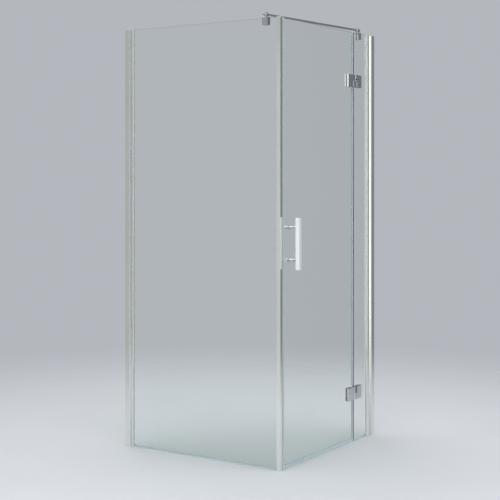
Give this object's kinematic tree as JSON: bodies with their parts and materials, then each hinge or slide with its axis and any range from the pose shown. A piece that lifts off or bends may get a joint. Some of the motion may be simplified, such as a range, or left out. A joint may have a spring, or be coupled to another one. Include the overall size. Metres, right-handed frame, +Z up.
{
  "type": "pivot shower door",
  "caption": "Frameless corner shower enclosure: clear glass door on glass-to-glass hinges beside a narrow inline panel, fixed side panel, slim wall profiles, pull handle and stabiliser bar.",
  "frame": {"origin": "underside of the corner post's foot, where the glass centre lines of the door and of the side panel cross", "axes": "+Z up; +X along the door and its inline panel to their wall; +Y along the side panel to its wall; the shower is on the +X +Y side and the door opens towards -Y"},
  "size_m": [0.8853, 0.927, 2.023],
  "materials": {
    "clear_glass": "polished toughened glass, faintly green",
    "profile_aluminium": "bright anodised, satin",
    "chrome_fittings": "polished chrome plate",
    "silver_fittings": "pale matt silver lacquer",
    "pin_steel": "plain stainless steel",
    "clear_seal": "clear soft plastic",
    "magnet_strip": "flexible magnet with a pale skin",
    "soft_gasket": "soft grey rubber",
    "pale_gasket": "soft white gasket",
    "grey_caps": "light grey moulded plastic",
    "hinge_bush": "pale low-friction plastic"
  },
  "bodies": {
    "fixed_frame": {"corner_foot": "grey_caps", "corner_profile": "profile_aluminium", "corner_cap": "grey_caps", "corner_gaskets": "pale_gasket", "strike_seal": "clear_seal", "strike_magnet": "magnet_strip", "side_glass": "clear_glass", "side_seat_seal": "clear_seal", "inline_glass": "clear_glass", "inline_seat_seal": "clear_seal", "wall_channel_door": "profile_aluminium", "glazing_profile_door": "profile_aluminium", "glazing_gaskets_door": "pale_gasket", "channel_cap_door": "grey_caps", "wall_channel_side": "profile_aluminium", "glazing_profile_side": "profile_aluminium", "glazing_gaskets_side": "pale_gasket", "channel_cap_side": "grey_caps", "stabiliser_bar": "chrome_fittings", "bar_clamps": "chrome_fittings", "bar_holders": "chrome_fittings", "clamp_pads": "soft_gasket", "lower_hinge_frame_leaf": "chrome_fittings", "lower_hinge_frame_backplate": "chrome_fittings", "lower_hinge_frame_pads": "soft_gasket", "upper_hinge_frame_leaf": "chrome_fittings", "upper_hinge_frame_backplate": "chrome_fittings", "upper_hinge_frame_pads": "soft_gasket", "hinge_pins": "pin_steel"},
    "door_leaf": {"door_glass": "clear_glass", "door_closing_seal": "clear_seal", "door_magnet": "magnet_strip", "door_bottom_seal": "clear_seal", "hinge_side_seals": "clear_seal", "handle_bar": "silver_fittings", "handle_posts": "chrome_fittings", "handle_inner_caps": "chrome_fittings", "lower_hinge_door_leaf": "chrome_fittings", "lower_hinge_door_backplate": "chrome_fittings", "lower_hinge_door_pads": "soft_gasket", "upper_hinge_door_leaf": "chrome_fittings", "upper_hinge_door_backplate": "chrome_fittings", "upper_hinge_door_pads": "soft_gasket", "hinge_bushes": "hinge_bush"}
  },
  "joints": [
    {"name": "door_swing", "type": "hinge", "parent": "fixed_frame", "child": "door_leaf", "pos_m": [0.6685, -0.005, 0.239], "axis": [0, 0, 1], "range_deg": [0, 100]}
  ]
}
